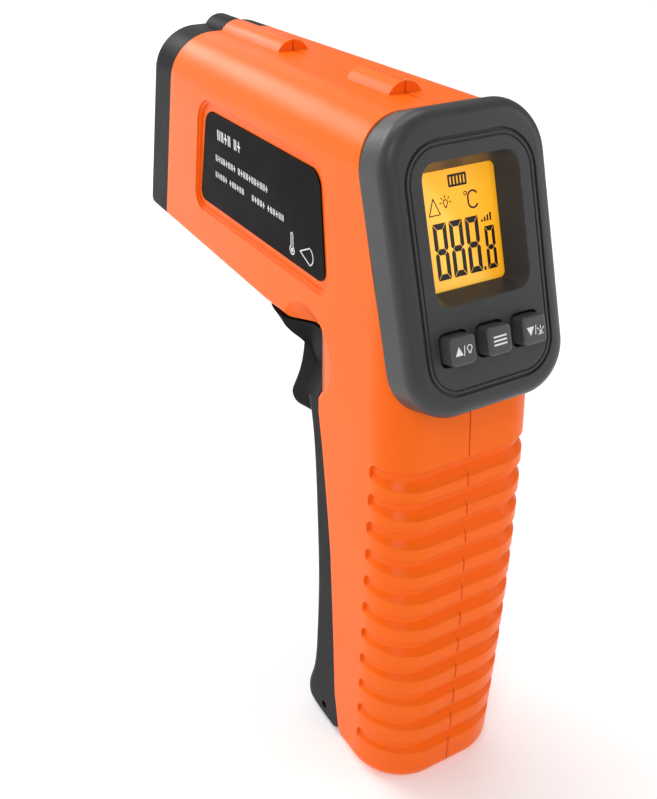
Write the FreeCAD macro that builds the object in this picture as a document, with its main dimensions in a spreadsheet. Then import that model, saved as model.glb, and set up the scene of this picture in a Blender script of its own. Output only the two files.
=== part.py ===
"""Handheld infrared thermometer, pistol shaped, as a parametric assembly of separate pieces.

Frame: +Z up, +Y the way the lens looks, X across, all in millimetres. The origin is the middle
of the flat foot of the grip, so the display faces -Y and the two housing halves meet at X = 0.
"""
import FreeCAD, Part
import math
import os
import Sketcher
from FreeCAD import Placement, Rotation, Vector

X_AXIS = Vector(1, 0, 0)
Y_AXIS = Vector(0, 1, 0)
Z_AXIS = Vector(0, 0, 1)

# Driving dimensions: name, value in millimetres or degrees, what it is.
DRIVING = [
    ("wall", 2.2, "housing wall"),
    ("half_width", 18.5, "half width of the housing at the grip's back"),
    ("side_taper", 1.17, "angle by which each side narrows towards the nose, degrees"),
    ("taper_from", -5.0, "Y at which the half width is measured"),
    ("far", 40.0, "half size of a block that reaches past the object"),
    ("head_top", 157.0, "top of the head"),
    ("head_round", 10.0, "radius of the head's two top edges"),
    ("head_low_front", 109.3, "underside of the head at the nose"),
    ("head_low_back", 107.0, "underside of the head at the grip"),
    ("nose_top_y", 101.5, "front of the nose at the top"),
    ("nose_bottom_y", 115.0, "front of the nose at the bottom"),
    ("seam_top_y", 89.6, "joint of nose cap and housing at the top"),
    ("seam_bottom_y", 102.3, "joint of nose cap and housing at the underside"),
    ("nose_round", 3.0, "radius round the front of the nose cap"),
    ("grip_back_y", -9.6, "back of the grip at the foot"),
    ("grip_belly_y", -10.6, "back of the grip half way up"),
    ("grip_neck_y", -8.35, "back of the grip under the display bezel"),
    ("neck_z", 102.6, "height at which the bezel's seat leaves the grip's back"),
    ("grip_round_top", 8.0, "radius of the grip's back corners at the neck"),
    ("grip_round_foot", 13.0, "radius of the grip's back corners at the foot"),
    ("foot_front_y", 9.2, "front edge of the foot"),
    ("foot_round", 3.6, "radius round the foot"),
    ("ridge_radius", 4.2, "radius of the two sight ridges"),
    ("ridge_axis_z", 155.1, "height of the ridges' axis"),
    ("rear_ridge_from", 18.0, "back end of the rear ridge"),
    ("rear_ridge_to", 33.2, "front end of the rear ridge"),
    ("front_ridge_from", 61.5, "back end of the front ridge"),
    ("front_ridge_to", 101.0, "front end of the front ridge, on the nose cap"),
    ("seam_gap", 0.26, "width of the line where the halves meet"),
    ("seam_depth", 0.5, "depth of that line"),
    ("rib_first_z", 89.8, "upper edge of the top grip groove"),
    ("rib_pitch", 7.0, "distance between the first two grooves"),
    ("rib_growth", 0.14, "how much each next distance is longer"),
    ("rib_depth", 1.5, "depth of a groove at the back"),
    ("rib_side_depth", 0.9, "depth of a groove on the side"),
    ("rib_front_y", -1.9, "front end of the top groove"),
    ("rib_drift", 0.27, "how far each next groove ends further forward"),
    ("bezel_y", -10.27, "display reference point, Y"),
    ("bezel_z", 125.48, "display reference point, Z"),
    ("bezel_tilt", 16.94, "how far the display leans back, degrees"),
    ("bezel_depth", 8.5, "depth of the bezel behind its face"),
    ("bezel_bottom", -21.2, "bezel's lower edge along its face"),
    ("bezel_top", 35.5, "bezel's upper edge along its face"),
    ("bezel_half", 18.35, "half width of the bezel at its seat"),
    ("bezel_round_top", 11.0, "radius of the bezel's upper corners"),
    ("bezel_round_low", 10.0, "radius of the bezel's lower corners"),
    ("bezel_edge", 2.8, "radius round the bezel's face"),
    ("glass_half", 10.9, "half width of the display recess"),
    ("glass_high", 26.0, "height of the display recess"),
    ("glass_depth", 5.0, "depth of the display recess"),
    ("glass_inset", 2.0, "how much the recess narrows down to the glass"),
    ("key_pitch", 8.33, "distance between key centres"),
    ("key_level", -7.7, "key centres along the face"),
    ("key_size", 5.5, "side of a key's face"),
    ("key_hole", 6.5, "side of a key's hole"),
    ("key_proud", 3.0, "how far a key stands out of the face"),
    ("label_deep", 1.0, "depth of the label recess"),
    ("label_thick", 0.35, "thickness of a label"),
    ("door_half", 17.7, "half width of the battery door"),
    ("door_wall", 2.0, "wall of the battery door"),
    ("door_pin_y", 18.5, "hinge pin of the battery door, Y"),
    ("door_pin_z", 5.0, "hinge pin of the battery door, Z"),
    ("pin_radius", 1.0, "radius of the hinge pins"),
    ("running", 0.06, "radial clearance of a running fit"),
    ("slot_half", 9.2, "half width of the trigger's slot"),
    ("trigger_half", 8.0, "half width of the trigger"),
    ("trigger_pin_y", 36.0, "trigger pivot, Y"),
    ("trigger_pin_z", 114.0, "trigger pivot, Z"),
    ("cell_radius", 5.2, "radius of an AAA cell"),
    ("cell_long", 43.5, "length of an AAA cell's body"),
    ("cell_low_z", 14.0, "lower end of the cells"),
    ("optic_z", 128.0, "height of the lens axis"),
    ("laser_z", 146.5, "height of the laser's axis"),
    ("screw_radius", 1.25, "shank radius of a housing screw"),
]

doc = FreeCAD.newDocument("infrared_thermometer")
sheet = doc.addObject("Spreadsheet::Sheet", "sizes")
for row, (alias, value, meaning) in enumerate(DRIVING, start=1):
    sheet.set(f"A{row}", meaning)
    sheet.set(f"B{row}", str(value))
    sheet.setAlias(f"B{row}", alias)
doc.recompute()


class Size:
    """A length that carries both its value and the spreadsheet expression behind it."""

    def __init__(self, value, text=None):
        self.value = float(value)
        self.text = text or repr(round(float(value), 6))

    def __add__(self, other):
        other = size(other)
        return Size(self.value + other.value, f"({self.text} + {other.text})")

    def __sub__(self, other):
        other = size(other)
        return Size(self.value - other.value, f"({self.text} - {other.text})")

    def __mul__(self, other):
        other = size(other)
        return Size(self.value * other.value, f"({self.text} * {other.text})")

    def __truediv__(self, other):
        other = size(other)
        return Size(self.value / other.value, f"({self.text} / {other.text})")

    def __neg__(self):
        return Size(-self.value, f"(0 - {self.text})")

    def __rsub__(self, other):
        return size(other) - self

    __radd__ = __add__
    __rmul__ = __mul__


def size(value):
    return value if isinstance(value, Size) else Size(value)


def cell(alias):
    """The driving dimension of that name."""
    return Size(float(sheet.get(alias)), f"sizes.{alias}")


def bind(obj, **properties):
    """Sets each property and ties it to its expression."""
    for name, value in properties.items():
        value = size(value)
        setattr(obj, name, value.value)
        obj.setExpression(name, value.text)


def place(obj, x=0, y=0, z=0, turn=None):
    """Puts an object at a point, with its coordinates tied to their expressions."""
    spot = [size(x), size(y), size(z)]
    obj.Placement = Placement(Vector(*[part.value for part in spot]), turn or Rotation())
    for axis, part in zip("xyz", spot):
        obj.setExpression(f"Placement.Base.{axis}", part.text)
    return obj


# Turns that lay a local Z axis along the world's X or Y axis.
ALONG_X = Rotation(Y_AXIS, 90)
ALONG_Y = Rotation(X_AXIS, -90)
# Turns of a sketch into the side view (Y across, Z up) and the plan (X across, Y up).
SIDE_VIEW = Rotation(Y_AXIS, Z_AXIS, X_AXIS, "ZXY")
PLAN_VIEW = Rotation()
# The display's own frame: x across, y up along the face, z out of the face.
FACE_TURN = Rotation(X_AXIS, 90 - cell("bezel_tilt").value)


def box(name, low, high):
    obj = doc.addObject("Part::Box", name)
    low = [size(part) for part in low]
    high = [size(part) for part in high]
    bind(obj, Length=high[0] - low[0], Width=high[1] - low[1], Height=high[2] - low[2])
    return place(obj, *low)


def rod(name, radius, length, x=0, y=0, z=0, turn=None):
    obj = doc.addObject("Part::Cylinder", name)
    bind(obj, Radius=radius, Height=length)
    return place(obj, x, y, z, turn)


def cut(name, base, *tools):
    """The base with each tool taken away."""
    tool = tools[0] if len(tools) == 1 else fuse(name + "_tools", *tools)
    obj = doc.addObject("Part::Cut", name)
    obj.Base = base
    obj.Tool = tool
    return obj


def fuse(name, *shapes):
    obj = doc.addObject("Part::MultiFuse", name)
    obj.Shapes = list(shapes)
    obj.Refine = True
    return obj


def group(name, *shapes):
    """Separate solids kept side by side in one object."""
    obj = doc.addObject("Part::Compound", name)
    obj.Links = list(shapes)
    return obj


def common(name, *shapes):
    obj = doc.addObject("Part::MultiCommon", name)
    obj.Shapes = list(shapes)
    return obj


def rounded(name, base, *picks):
    """Rolls edges: each pick is (radius at the low end, radius at the high end, test of an edge)."""
    doc.recompute()
    chosen = []
    for number, edge in enumerate(base.Shape.Edges, start=1):
        rises = edge.valueAt(edge.LastParameter).z >= edge.valueAt(edge.FirstParameter).z
        for low, high, wanted in picks:
            if wanted(edge):
                radii = (low, high) if rises else (high, low)
                chosen.append((number, size(radii[0]).value, size(radii[1]).value))
                break
    obj = doc.addObject("Part::Fillet", name)
    obj.Base = base
    obj.Edges = chosen
    return obj


def ends(edge):
    """The lowest and highest coordinates that an edge reaches."""
    reach = edge.BoundBox
    return Vector(reach.XMin, reach.YMin, reach.ZMin), Vector(reach.XMax, reach.YMax, reach.ZMax)


def runs_along(axis):
    """A test for straight edges parallel to an axis."""
    def wanted(edge):
        low, high = ends(edge)
        span = high - low
        return span.dot(axis) > 0.999 * span.Length
    return wanted


class Via:
    """A point that the arc between its two neighbours passes through."""

    def __init__(self, u, v):
        self.u, self.v = size(u), size(v)


def outline(sketch, points):
    """Draws a closed outline of straight runs and arcs, each corner tied to its expressions."""
    corners = []
    arcs = {}
    for point in points:
        if isinstance(point, Via):
            arcs[len(corners) - 1] = point
        else:
            corners.append((size(point[0]), size(point[1])))
    spots = [Vector(u.value, v.value, 0) for u, v in corners]
    pins = []
    for number, start in enumerate(spots):
        end = spots[(number + 1) % len(spots)]
        begins = 1
        if number in arcs:
            middle = Vector(arcs[number].u.value, arcs[number].v.value, 0)
            clockwise = (middle - start).cross(end - start).z < 0
            # A sketch counts every arc's ends anticlockwise, so a clockwise one is drawn backwards.
            begins = 2 if clockwise else 1
            first, last = (end, start) if clockwise else (start, end)
            sketch.addGeometry(Part.Arc(first, middle, last), False)
        else:
            sketch.addGeometry(Part.LineSegment(start, end), False)
        pins.append((number, begins, *corners[number]))
    for number, _ in enumerate(corners):
        after = (number + 1) % len(corners)
        leaves = 3 - pins[number][1]
        sketch.addConstraint(Sketcher.Constraint("Coincident", number, leaves, after, pins[after][1]))
    for number, via in arcs.items():
        point = sketch.addGeometry(Part.Point(Vector(via.u.value, via.v.value, 0)), True)
        pins.append((point, 1, via.u, via.v))
        sketch.addConstraint(Sketcher.Constraint("PointOnObject", point, 1, number))
    for number, (geometry, end, u, v) in enumerate(pins):
        for kind, part in (("DistanceX", u), ("DistanceY", v)):
            index = sketch.addConstraint(
                Sketcher.Constraint(kind, -1, 1, geometry, end, part.value))
            sketch.renameConstraint(index, f"{kind}_{number}")
            sketch.setExpression(f"Constraints.{kind}_{number}", part.text)


def prism(name, turn, points, low, high, taper=0):
    """An outline drawn in a view and drawn out from low to high along the view's normal."""
    sketch = doc.addObject("Sketcher::SketchObject", name + "_outline")
    sketch.Placement = Placement(Vector(), turn)
    outline(sketch, points)
    obj = doc.addObject("Part::Extrusion", name)
    obj.Base = sketch
    obj.DirMode = "Normal"
    obj.Solid = True
    bind(obj, LengthFwd=high, LengthRev=-size(low))
    if taper:
        bind(obj, TaperAngle=taper)
    return obj


def smooth_prism(name, runs, half):
    """A side-view outline of flowing curves and straight runs, drawn out to both sides.

    Each run is a list of (y, z) points: two points give a straight edge, more give one curve.
    """
    edges = []
    for run in runs:
        spots = [Vector(0, size(y).value, size(z).value) for y, z in run]
        if len(spots) == 2:
            edges.append(Part.LineSegment(*spots).toShape())
        else:
            curve = Part.BSplineCurve()
            curve.interpolate(spots)
            edges.append(curve.toShape())
    face = Part.Face(Part.Wire(edges))
    reach = size(half).value
    obj = doc.addObject("Part::Feature", name)
    face.translate(Vector(-reach, 0, 0))
    obj.Shape = face.extrude(Vector(2 * reach, 0, 0))
    return obj


def frame_corners(half, low, high, round_low, round_high):
    """An upright rectangle with rounded corners, as outline points."""
    half, low, high = size(half), size(low), size(high)
    points = []
    for sign_u, sign_v, radius in ((1, -1, round_low), (1, 1, round_high),
                                   (-1, 1, round_high), (-1, -1, round_low)):
        radius = size(radius)
        slack = radius * (1 - math.sqrt(0.5))
        corner_u, corner_v = half * sign_u, (high if sign_v > 0 else low)
        beside = (corner_u - radius * sign_u, corner_v)
        above = (corner_u, corner_v - radius * sign_v)
        via = Via(corner_u - slack * sign_u, corner_v - slack * sign_v)
        points += [beside, via, above] if sign_u * sign_v < 0 else [above, via, beside]
    return points


def face_prism(name, points, low, high, taper=0):
    """A prism in the display's own frame."""
    return prism(name, Rotation(), points, low, high, taper)


def turned(name, points, along=ALONG_Y, y=0, z=0):
    """A body of revolution: points are (radius, distance along its axis)."""
    body = doc.addObject("PartDesign::Body", name)
    plane = next(item for item in body.Origin.OriginFeatures if item.Role == "XZ_Plane")
    sketch = body.newObject("Sketcher::SketchObject", name + "_section")
    sketch.AttachmentSupport = [(plane, "")]
    sketch.MapMode = "FlatFace"
    outline(sketch, points)
    spin = body.newObject("PartDesign::Revolution", name + "_turned")
    spin.Profile = sketch
    spin.ReferenceAxis = (sketch, ["V_Axis"])
    spin.Angle = 360.0
    body.Tip = spin
    return place(body, 0, y, z, along)


def seated(obj, x=0, up=0, out=0):
    """Moves a piece made in the display's frame to its place on the leaning face."""
    lean = math.radians(cell("bezel_tilt").value)
    y = cell("bezel_y") + size(up) * math.sin(lean) - size(out) * math.cos(lean)
    z = cell("bezel_z") + size(up) * math.cos(lean) + size(out) * math.sin(lean)
    return place(obj, x, y, z, FACE_TURN)


# Shared dimensions.
WALL = cell("wall")
FAR = cell("far")
HALF = cell("half_width")
TAPER = math.tan(math.radians(cell("side_taper").value))
DOOR_HALF = cell("door_half")
PIN = cell("pin_radius")
RUNNING = cell("running")
SLOT = cell("slot_half")
OPTIC_Z = cell("optic_z")
LASER_Z = cell("laser_z")
BEZEL_DEPTH = cell("bezel_depth")
CELL_R = cell("cell_radius")
HEAD_TOP = cell("head_top")

nodes = {}


def keep(node, obj):
    """Registers a finished sub-part under its node name."""
    obj.Label = node
    nodes[node] = obj
    return obj


def half_width_at(y, inset=0):
    """Half width of the housing at a distance along Y, less an inset."""
    return HALF - (size(y) - cell("taper_from")) * TAPER - inset


def plan_prism(name, inset=0):
    """The housing seen from above: two sides that narrow towards the nose."""
    back, front = -FAR, FAR * 3
    points = [
        (-half_width_at(back, inset), back),
        (half_width_at(back, inset), back),
        (half_width_at(front, inset), front),
        (-half_width_at(front, inset), front),
    ]
    return prism(name, PLAN_VIEW, points, -10, HEAD_TOP + 20)


def slanted(top_y, bottom_y, z):
    """Y of a slanted plane through the head's top and underside, at a height."""
    rise = HEAD_TOP - cell("head_low_front")
    return top_y + (bottom_y - top_y) * (HEAD_TOP - z) / rise


# --- Outer form of the two housing halves and the nose cap ----------------------------------

GRIP_TOP = Size(145)


def grip_points(inset=0):
    """Side view of the grip, from the neck round the back to the front edge."""
    inset = size(inset)
    return [
        (cell("grip_neck_y") + inset, GRIP_TOP),
        (cell("grip_neck_y") + inset, cell("neck_z")),
        Via(cell("grip_belly_y") + inset, 45),
        (cell("grip_back_y") + inset, inset),
        (cell("foot_front_y") - inset * 0.4, inset),
        (10.9, 4.5),
        (12.7, 14.5),
        Via(13.75, 36),
        (15.0, 56),
        Via(17.0, 71.5),
        (20.3, 91),
        Via(20.9, 99.5),
        (22.6, 106.0),
        (26.0, 109.0),
        (26.0, GRIP_TOP),
    ]


def head_points(inset=0):
    """Side view of the head, nose cap included."""
    inset = size(inset)
    low = cell("head_low_back") + inset
    return [
        (2, HEAD_TOP - inset),
        (cell("nose_top_y") - inset, HEAD_TOP - inset),
        (cell("nose_bottom_y") - inset * 0.7, cell("head_low_front") + inset),
        (45, low),
        (22, low + 0.6),
        (2, low + 0.6),
    ]


def grip_form(name, inset, round_top, round_foot):
    blank = common(name + "_blank",
                   prism(name + "_side", SIDE_VIEW, grip_points(inset), -FAR, FAR),
                   plan_prism(name + "_plan", inset))
    neck = cell("neck_z").value

    def back_corner(edge):
        low, high = ends(edge)
        return high.y < -5 and high.z <= neck + 0.1 and high.z - low.z > 60

    def neck_corner(edge):
        low, high = ends(edge)
        return high.y < -5 and low.z >= neck - 0.1 and high.z - low.z > 20

    return rounded(name, blank,
                   (round_foot, round_top, back_corner), (round_top, round_top, neck_corner))


def head_form(name, inset, radius):
    blank = common(name + "_blank",
                   prism(name + "_side", SIDE_VIEW, head_points(inset), -FAR, FAR),
                   plan_prism(name + "_plan", inset))
    top = (HEAD_TOP - size(inset)).value
    low_limit = cell("head_low_front").value + size(inset).value + 1

    def top_side(edge):
        low, high = ends(edge)
        return low.z > top - 0.1 and high.y - low.y > 50

    def low_side(edge):
        low, high = ends(edge)
        return high.z < low_limit and high.y - low.y > 50

    return rounded(name, blank, (radius, radius, top_side), (1.6, 1.6, low_side))


def behind_bezel(name, depth):
    """A block that fills the space behind the display's seat, from that depth outwards."""
    block = box(name, (-FAR, -40, -depth), (FAR, 90, 60))
    turned_block = group(name + "_seated", block)
    return seated(turned_block)


outer = cut("outer",
            fuse("outer_whole",
                 rounded("outer_grip_footed",
                         grip_form("outer_grip", 0, cell("grip_round_top"),
                                   cell("grip_round_foot")),
                         (cell("foot_round"), cell("foot_round"),
                          lambda edge: ends(edge)[1].z < 0.01 and ends(edge)[0].y < 9.0)),
                 head_form("outer_head", 0, cell("head_round"))),
            behind_bezel("seat_block", BEZEL_DEPTH))

inner = cut("inner",
            fuse("inner_whole",
                 grip_form("inner_grip", WALL, cell("grip_round_top") - WALL,
                           cell("grip_round_foot") - WALL),
                 head_form("inner_head", WALL, cell("head_round") - WALL)),
            behind_bezel("inner_seat_block", BEZEL_DEPTH + 2.0))


def ridge(name, start, end):
    return rod(name, cell("ridge_radius"), size(end) - start, 0, start, cell("ridge_axis_z"), ALONG_Y)


def nose_side(name, top_y, bottom_y, front):
    """Everything in front of a slanted plane across the head, up to the front given."""
    points = [
        (slanted(top_y, bottom_y, 170), 170),
        (front, 170),
        (front, 95),
        (slanted(top_y, bottom_y, 95), 95),
    ]
    return prism(name, SIDE_VIEW, points, -FAR, FAR)


SEAM_TOP = cell("seam_top_y")
SEAM_LOW = cell("seam_bottom_y")

body_form = fuse("body_form", outer,
                 ridge("rear_ridge", cell("rear_ridge_from"), cell("rear_ridge_to")),
                 ridge("front_ridge", cell("front_ridge_from"), 90.5))


# --- Housing halves --------------------------------------------------------------------------

def rib_level(number):
    """Height of the upper edge of a grip groove."""
    growth = cell("rib_growth") * (number * (number - 1) / 2)
    return cell("rib_first_z") - cell("rib_pitch") * number - growth


def back_at(z):
    """Back of the grip at a height, by the circle through its three given points."""
    foot = Vector(cell("grip_back_y").value, 0, 0)
    belly = Vector(cell("grip_belly_y").value, 45, 0)
    neck = Vector(cell("grip_neck_y").value, cell("neck_z").value, 0)
    circle = Part.Arc(foot, belly, neck).toShape().Curve
    return circle.Center.x - math.sqrt(circle.Radius ** 2 - (z - circle.Center.y) ** 2)


def groove(number):
    """One grip groove: a sharp upper edge, a floor, then a slope back out, swept round the back."""
    z = rib_level(number).value
    back = back_at(z)
    share = z / cell("neck_z").value
    corner = cell("grip_round_foot").value * (1 - share) + cell("grip_round_top").value * share
    side = half_width_at(back + 5).value
    depth = cell("rib_depth").value
    overlap = depth - cell("rib_side_depth").value
    front = cell("rib_front_y").value + number * cell("rib_drift").value + 2.0
    side += overlap
    arc_low = Vector(side, back + corner, z)
    arc_mid = Vector(side - corner * (1 - math.sqrt(0.5)), back + corner * (1 - math.sqrt(0.5)), z)
    arc_end = Vector(side - corner, back, z)
    flip = Vector(-1, 1, 1)

    def other_side(point):
        return Vector(point.x * flip.x, point.y, point.z)

    path = Part.Wire([
        Part.LineSegment(Vector(side, front, z), arc_low).toShape(),
        Part.Arc(arc_low, arc_mid, arc_end).toShape(),
        Part.LineSegment(arc_end, other_side(arc_end)).toShape(),
        Part.Arc(other_side(arc_end), other_side(arc_mid), other_side(arc_low)).toShape(),
        Part.LineSegment(other_side(arc_low), Vector(-side, front, z)).toShape(),
    ])
    out = 2.0
    floor_high, slope_high = 2.7, 1.7
    section = Part.makePolygon([
        Vector(side + out, front, z),
        Vector(side - depth, front, z),
        Vector(side - depth, front, z - floor_high),
        Vector(side, front, z - floor_high - slope_high),
        Vector(side + out, front, z - floor_high - slope_high - out),
        Vector(side + out, front, z),
    ])
    band = path.makePipeShell([Part.Wire(section)], True, False, 1)
    high = floor_high + slope_high
    middle = z - high / 2
    end_cap = Part.makeCylinder(high / 2, 60, Vector(-30, front - high / 2 - 0.6, middle), X_AXIS)
    reach = Part.makeBox(60, 30, high + 8, Vector(-30, front - high / 2 - 0.6 - 30, z - high - 6))
    limit = end_cap.fuse(reach)
    tool = doc.addObject("Part::Feature", f"groove_{number}")
    tool.Shape = band.common(limit)
    return tool


GROOVES = 11


def label_points(grow, corner):
    """The label's outline in the side view, made larger all round by grow."""
    grow = size(grow)
    low, high = 120.9 - grow, 143.6 + grow
    back_low, back_high = 18.6 - grow, 20.9 - grow
    front_low, front_high = 79.6 + grow, 73.6 + grow
    k = size(corner)
    lean_back = (back_high - back_low) / (high - low)
    lean_front = (front_high - front_low) / (high - low)
    bite = k * 0.3
    return [
        (back_low + k, low),
        (front_low - k, low), Via(front_low - bite, low + bite),
        (front_low + lean_front * k, low + k),
        (front_high - lean_front * k, high - k), Via(front_high - bite, high - bite),
        (front_high - k, high),
        (back_high + k, high), Via(back_high + bite, high - bite),
        (back_high - lean_back * k, high - k),
        (back_low + lean_back * k, low + k), Via(back_low + bite, low + bite),
    ]


def label_solid(name, sign, grow, corner, inner_x, outer_x, taper=0):
    """A slab with the label's outline, lying along one side of the head."""
    if sign < 0:
        low, high = -size(outer_x), -size(inner_x)
    else:
        low, high = size(inner_x), size(outer_x)
    slab = prism(name + "_slab", SIDE_VIEW, label_points(grow, corner), low, high, taper)
    angle = cell("side_taper").value * sign
    turned_slab = group(name, slab)
    side = half_width_at(0)
    return place(turned_slab, side * sign, 0, 0, Rotation(Z_AXIS, angle))


def recess(name, sign):
    """The label's recess: a flat floor with a sloping rim."""
    deep = cell("label_deep")
    floor = label_solid(name + "_floor", sign, 1.9, 4.6, -deep, 1.0)
    rim = label_solid(name + "_rim", sign, 2.6, 5.2, -deep * 0.45, 1.0)
    return [floor, rim]


def scallop(name, sign, skin=0):
    """The finger hollow at the top of the battery door: a shallow cone into the side.

    With a skin it is the thicker cone whose wall backs the hollow.
    """
    obj = doc.addObject("Part::Cone", name)
    wide, narrow, deep = 10.9, 5.0, 4.6
    bind(obj, Radius1=wide + skin, Radius2=narrow + skin, Height=deep + skin)
    turn = Rotation(Y_AXIS, -90 * sign)
    place(obj, (half_width_at(26) + 0.15) * sign, 26.3, 103.2, turn)
    return obj


# The hinge ears that carry the battery door, measured from the middle plane.
EAR_IN = Size(10.2)
EAR_OUT = Size(12.4)
EAR_WIDE = EAR_OUT - EAR_IN

# Where the board screws go into the bezel: X and up the face; and half a boss's width.
BOSSES = [(-12.6, -13.3), (12.6, -13.3), (-12.2, 27.0), (12.2, 27.0)]
BOSS_HALF = 1.6


def screw_posts():
    """Centres of the housing's screw posts: Y, Z."""
    return [(-2.5, 66.5), (74, 114.0), (56, 150.2), (-3.5, 6.1)]


def half_housing(sign):
    """One half of the housing: the outer form on its own side, hollowed, with its fittings."""
    side_name = "right" if sign > 0 else "left"
    tag = "housing_" + side_name
    low_x, high_x = (Size(0), FAR) if sign > 0 else (-FAR, Size(0))
    blank = box(tag + "_side", (low_x, -60, -20), (high_x, 140, 190))
    hollow = cut(tag + "_hollow", inner,
                 nose_side(tag + "_nose_wall", SEAM_TOP - WALL, SEAM_LOW - WALL, 140))
    tools = [hollow]
    tools.append(nose_side(tag + "_nose_cut", SEAM_TOP, SEAM_LOW, 140))
    tools += recess(tag + "_recess", sign)
    hollow_cone = scallop(tag + "_scallop", sign)
    tools.append(hollow_cone)
    backing = cut(tag + "_backing",
                  common(tag + "_backing_block", scallop(tag + "_backing_cone", sign, 1.6), body_form),
                  hollow_cone)
    # The line where the halves meet.
    tools.append(cut(tag + "_seam", box(tag + "_seam_slab",
                                        (-cell("seam_gap") / 2, -60, 2), (cell("seam_gap") / 2, 140, 190)),
                     seam_core))
    # Opening behind the display, open front of the grip, trigger opening, nose opening.
    window = face_prism(tag + "_window", frame_corners(14.6, -16.0, 31.0, 5, 5), -18, 0)
    clear = [rod(f"{tag}_boss_room_{i}", 2.0, 8.0, x, y, -15.4) for i, (x, y) in enumerate(BOSSES)]
    tools.append(seated(fuse(tag + "_window_seated", window, *clear)))
    tools.append(prism(tag + "_front", SIDE_VIEW, [
        (6, 9.5), (25, 9.5), (25, 104.0), (49.5, 104.0), (49.5, 110.5), (18, 110.5), (12, 100), (8, 60),
    ], -SLOT - 5.6, SLOT + 5.6))
    tools.append(rod(tag + "_nose_bore", 12.4, 40, 0, 80, OPTIC_Z, ALONG_Y))
    tools.append(rod(tag + "_laser_bore", 4.4, 40, 0, 80, LASER_Z, ALONG_Y))
    walls = cut(tag + "_walls", common(tag + "_half", body_form, blank), *tools)
    # Screw posts: the right half is bored through for the shank, the left half takes the thread.
    posts = []
    bores = []
    for number, (y, z) in enumerate(screw_posts()):
        reach = half_width_at(y) - 1.0
        start = Size(0.05) if sign > 0 else -reach
        posts.append(rod(f"{tag}_post_{number}", 3.0, reach - 0.05, start, y, z, ALONG_X))
        bore = cell("screw_radius") if sign < 0 else cell("screw_radius") + 0.15
        if sign > 0:
            bores.append(rod(f"{tag}_bore_{number}", bore, FAR, -1, y, z, ALONG_X))
            bores.append(rod(f"{tag}_sink_{number}", 2.6, FAR, reach - 6.0, y, z, ALONG_X))
        else:
            bores.append(rod(f"{tag}_bore_{number}", bore, 9.5, -9, y, z, ALONG_X))
    inside = common(tag + "_posts", fuse(tag + "_post_set", *posts), outer)
    # Ears that carry the battery door's hinge pin, standing forward of the foot.
    ear_x = (EAR_IN, EAR_OUT) if sign > 0 else (-EAR_OUT, -EAR_IN)
    pin_y, pin_z = cell("door_pin_y"), cell("door_pin_z")
    ear = prism(tag + "_ear", SIDE_VIEW, [
        (8.0, 3.0), (12.0, 2.6), (pin_y, pin_z - 2.6), Via(pin_y + 2.6, pin_z),
        (pin_y, pin_z + 2.6), (12.0, 9.0), (8.0, 9.0),
    ], *ear_x)
    ear_bore = rod(tag + "_ear_bore", PIN, 6, ear_x[0] - 2, pin_y, pin_z, ALONG_X)
    # Cheeks that carry the trigger's pivot, standing in from the side wall.
    cheek_x = (Size(9.0), Size(15.8)) if sign > 0 else (-Size(15.8), -Size(9.0))
    cheek = rod(tag + "_cheek", 3.2, cheek_x[1] - cheek_x[0], cheek_x[0],
                cell("trigger_pin_y"), cell("trigger_pin_z"), ALONG_X)
    if sign > 0:
        cheek_bore = rod(tag + "_cheek_bore", PIN, 4.2, Size(8.0), cell("trigger_pin_y"),
                         cell("trigger_pin_z"), ALONG_X)
    else:
        cheek_bore = rod(tag + "_cheek_bore", PIN, 4.2, -12.2, cell("trigger_pin_y"),
                         cell("trigger_pin_z"), ALONG_X)
    joined = fuse(tag + "_joined", walls, inside, ear, cheek, backing)
    return keep(tag, cut(tag, joined, *bores, ear_bore, cheek_bore, *groove_tools))


seam_core = cut("seam_core_cut",
                common("seam_core",
                       fuse("seam_core_forms",
                            prism("seam_core_grip", SIDE_VIEW, grip_points(cell("seam_depth")), -5, 5),
                            prism("seam_core_head", SIDE_VIEW, head_points(cell("seam_depth")), -5, 5))),
                behind_bezel("seam_core_block", BEZEL_DEPTH + cell("seam_depth")))
seam_core = fuse("seam_core_full", seam_core,
                 rod("seam_core_rear_ridge", cell("ridge_radius") - cell("seam_depth"),
                     14.2, 0, cell("rear_ridge_from") + 0.5, cell("ridge_axis_z"), ALONG_Y),
                 rod("seam_core_front_ridge", cell("ridge_radius") - cell("seam_depth"),
                     40, 0, cell("front_ridge_from") + 0.5, cell("ridge_axis_z"), ALONG_Y))
groove_tools = [groove(number) for number in range(GROOVES)]
for sign in (1, -1):
    half_housing(sign)


def housing_screws():
    """Pan-head screws that go in from the right half and thread into the left half."""
    screws = []
    for number, (y, z) in enumerate(screw_posts()):
        seat = half_width_at(y) - 7.0
        shank = rod(f"screw_shank_{number}", cell("screw_radius"), seat + 6.5, -6.5, y, z, ALONG_X)
        head = rod(f"screw_head_{number}", 2.3, 1.8, seat, y, z, ALONG_X)
        drive = fuse(f"screw_drive_{number}",
                     box(f"screw_slot_a_{number}", (seat + 0.9, y - 0.3, z - 1.3),
                         (seat + 3, y + 0.3, z + 1.3)),
                     box(f"screw_slot_b_{number}", (seat + 0.9, y - 1.3, z - 0.3),
                         (seat + 3, y + 1.3, z + 0.3)))
        screws.append(cut(f"screw_{number}", fuse(f"screw_solid_{number}", shank, head), drive))
    return keep("housing_screws", group("housing_screws", *screws))


housing_screws()


# --- Nose cap with the optics behind it -------------------------------------------------------

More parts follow.
